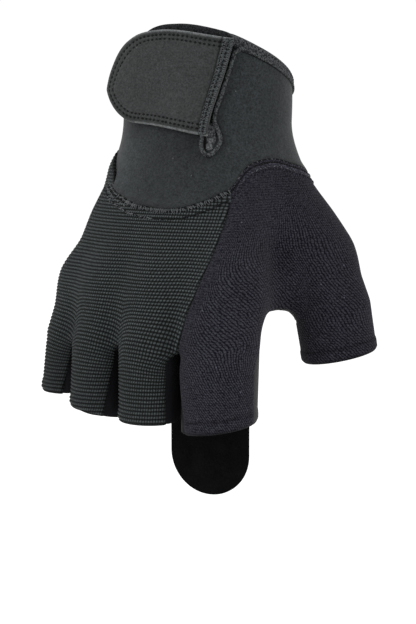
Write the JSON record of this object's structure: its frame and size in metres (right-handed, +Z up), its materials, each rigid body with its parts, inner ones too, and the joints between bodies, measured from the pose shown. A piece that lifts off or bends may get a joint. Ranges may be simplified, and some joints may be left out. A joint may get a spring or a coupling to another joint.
{
  "type": "fingerless weightlifting glove with wrist wrap",
  "caption": "Right-hand fingerless lifting glove held in its worn form: neoprene wrist cuff with a closure tab, ribbed back, knit side, palm and a hanging grip flap.",
  "frame": {"origin": "middle of the wrist inside the cuff", "axes": "+Z up the forearm with the fingers hanging down, +X towards the thumb, -Y out of the back of the hand"},
  "size_m": [0.1318, 0.0926, 0.1875],
  "materials": {
    "neoprene": "charcoal neoprene with a smooth jersey face",
    "binding": "stitched elastic binding",
    "piping": "overlocked piping",
    "tongue_cloth": "ribbed elastic",
    "tape": "woven tape with zigzag stitches",
    "seam_stitching": "overlock stitches",
    "flap_cloth": "black suede cloth",
    "rib_knit": "ribbed elastic knit",
    "fine_knit": "fine jersey with a soft nap",
    "palm_suede": "black suede cloth",
    "gusset_cloth": "smooth stretch cloth"
  },
  "bodies": {
    "root": {"wrist_cuff": "neoprene", "cuff_binding": "binding", "slit_piping": "piping", "slit_tongue": "tongue_cloth", "closure_tab": "neoprene", "tab_tape": "tape", "wrist_seam": "seam_stitching", "grip_flap": "flap_cloth", "back_panel": "rib_knit", "side_panel": "fine_knit", "palm_panel": "palm_suede", "fourchette_1": "gusset_cloth", "fourchette_2": "gusset_cloth", "fourchette_3": "gusset_cloth"}
  },
  "joints": []
}
